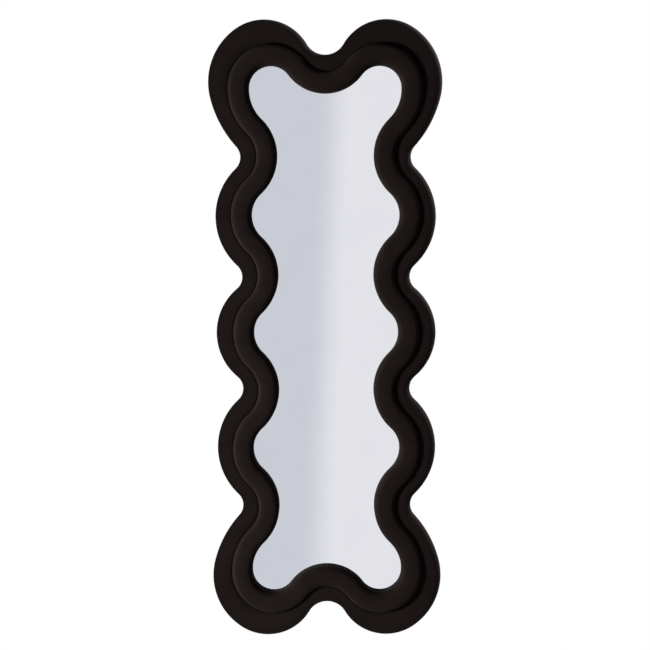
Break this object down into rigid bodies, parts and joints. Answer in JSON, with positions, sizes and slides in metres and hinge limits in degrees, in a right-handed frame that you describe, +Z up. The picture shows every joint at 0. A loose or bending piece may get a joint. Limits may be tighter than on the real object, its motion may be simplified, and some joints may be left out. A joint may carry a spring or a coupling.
{
  "type": "irregular shaped wall mirror",
  "caption": "Tall wavy wall mirror with a two-tier padded velvet frame, glass behind the inner tier and swivelling D-ring hangers on its back panel.",
  "frame": {"origin": "middle of the back panel's rear face, 6 mm in front of the wall", "axes": "+Z up, +X to the viewer's right, the mirror faces -Y"},
  "size_m": [0.5978, 0.046, 1.6],
  "materials": {
    "black_velvet": "short-pile velvet, black with a brown cast",
    "foam": "open-cell upholstery foam",
    "mirror": "silvered float glass",
    "film": "grey adhesive safety film",
    "felt": "thin black felt",
    "hardboard": "smooth brown hardboard",
    "fibreboard": "sawn fibreboard",
    "screw_steel": "zinc-plated steel",
    "staple_steel": "galvanised wire",
    "zinc_steel": "zinc-plated steel",
    "rubber": "moulded black rubber"
  },
  "bodies": {
    "mirror": {"outer_cover": "black_velvet", "inner_cover": "black_velvet", "outer_pad": "foam", "inner_pad": "foam", "mirror_glass": "mirror", "safety_film": "film", "glazing_felt": "felt", "foam_strips": "foam", "back_panel": "hardboard", "base_ring_core": "fibreboard", "upper_ring_core": "fibreboard", "panel_screws": "screw_steel", "ring_screws": "screw_steel", "cover_staples": "staple_steel", "hanger_strap_left": "zinc_steel", "hanger_strap_right": "zinc_steel", "hanger_screws": "screw_steel", "wall_bumpers": "rubber"},
    "ring_left": {"hanger_ring_left": "zinc_steel"},
    "ring_right": {"hanger_ring_right": "zinc_steel"}
  },
  "joints": [
    {"name": "ring_left_swivel", "type": "hinge", "parent": "mirror", "child": "ring_left", "pos_m": [-0.22297, 0.003, 0.57877], "axis": [1, 0, 0], "range_deg": [0, 180]},
    {"name": "ring_right_swivel", "type": "hinge", "parent": "mirror", "child": "ring_right", "pos_m": [0.22297, 0.003, 0.57877], "axis": [1, 0, 0], "range_deg": [0, 180]}
  ]
}
